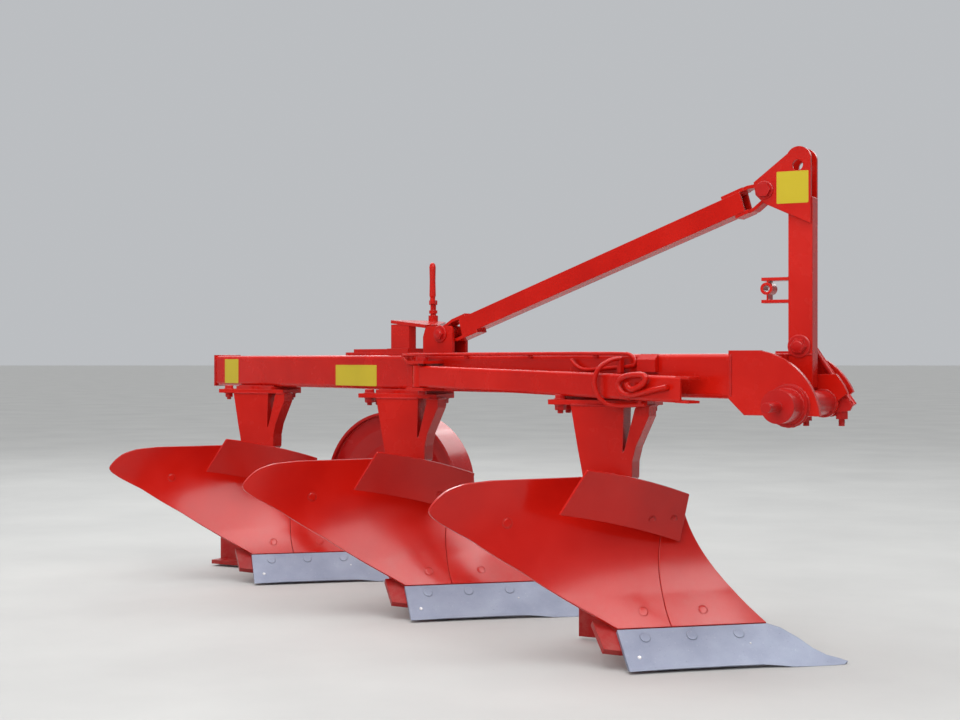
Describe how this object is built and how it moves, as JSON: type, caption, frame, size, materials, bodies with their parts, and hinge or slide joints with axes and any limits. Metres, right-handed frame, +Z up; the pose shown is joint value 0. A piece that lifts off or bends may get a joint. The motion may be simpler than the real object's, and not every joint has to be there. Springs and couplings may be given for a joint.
{
  "type": "moldboard plough",
  "caption": "Tractor-mounted moldboard plough turning its furrows to the right, with a slanting beam, depth wheel, braced hitch mast and swing-out side arm.",
  "frame": {"origin": "under the middle of the whole plough, on the level of the share edges, which is the floor it is parked on", "axes": "+X forward, towards the hitch; +Y to the left, the unploughed side; +Z up"},
  "size_m": [2.5005, 1.4801, 1.242],
  "materials": {
    "red_paint": "gloss red enamel",
    "share_steel": "satin blue-grey coating over hardened steel",
    "bolt_steel": "bolt heads painted over in red"
  },
  "bodies": {
    "frame": {"front_beam": "red_paint", "rear_beam": "red_paint", "beam_joint": "red_paint", "rear_end_plate": "red_paint", "right_cheek": "red_paint", "inner_cheek": "red_paint", "left_cheek": "red_paint", "headstock_crossbar": "red_paint", "mast": "red_paint", "mast_plates": "red_paint", "mast_clevis": "red_paint", "cross_shaft": "red_paint", "swing_screw": "red_paint", "stay": "red_paint", "stay_bolt_top": "bolt_steel", "stay_bracket": "red_paint", "stay_bolt_foot": "bolt_steel", "leg_flanges": "red_paint", "front_leg": "red_paint", "middle_leg": "red_paint", "rear_leg": "red_paint", "front_frog": "red_paint", "middle_frog": "red_paint", "rear_frog": "red_paint", "front_share": "share_steel", "middle_share": "share_steel", "rear_share": "share_steel", "front_shin": "red_paint", "middle_shin": "red_paint", "rear_shin": "red_paint", "front_moldboard": "red_paint", "middle_moldboard": "red_paint", "rear_moldboard": "red_paint", "front_landside": "red_paint", "middle_landside": "red_paint", "rear_landside": "red_paint", "front_trashboard": "red_paint", "middle_trashboard": "red_paint", "rear_trashboard": "red_paint", "moldboard_stays": "red_paint", "wheel_bracket": "red_paint", "screw_bracket": "red_paint", "depth_screw": "red_paint", "arm_pivot": "red_paint", "arm_pivot_pin": "bolt_steel", "arm_rod": "red_paint", "arm_catch": "red_paint"},
    "wheel_arm": {"wheel_arm": "red_paint", "wheel_axle": "bolt_steel"},
    "wheel": {"wheel_rim": "red_paint", "wheel_hub": "red_paint"},
    "harrow_arm": {"harrow_arm": "red_paint", "arm_loop": "red_paint", "arm_hook": "red_paint"}
  },
  "joints": [
    {"name": "wheel_arm_swing", "type": "hinge", "parent": "frame", "child": "wheel_arm", "pos_m": [-0.3368, 0.4651, 0.648], "axis": [0, 1, 0], "range_deg": [-6, 45]},
    {"name": "wheel_spin", "type": "hinge", "parent": "wheel_arm", "child": "wheel", "pos_m": [-0.5148, 0.6751, 0.299], "axis": [0, 1, 0], "continuous": true},
    {"name": "side_arm_swing", "type": "hinge", "parent": "frame", "child": "harrow_arm", "pos_m": [-0.03711, 0.01417, 0.683], "axis": [0, 0, -1], "range_deg": [0, 90]}
  ]
}
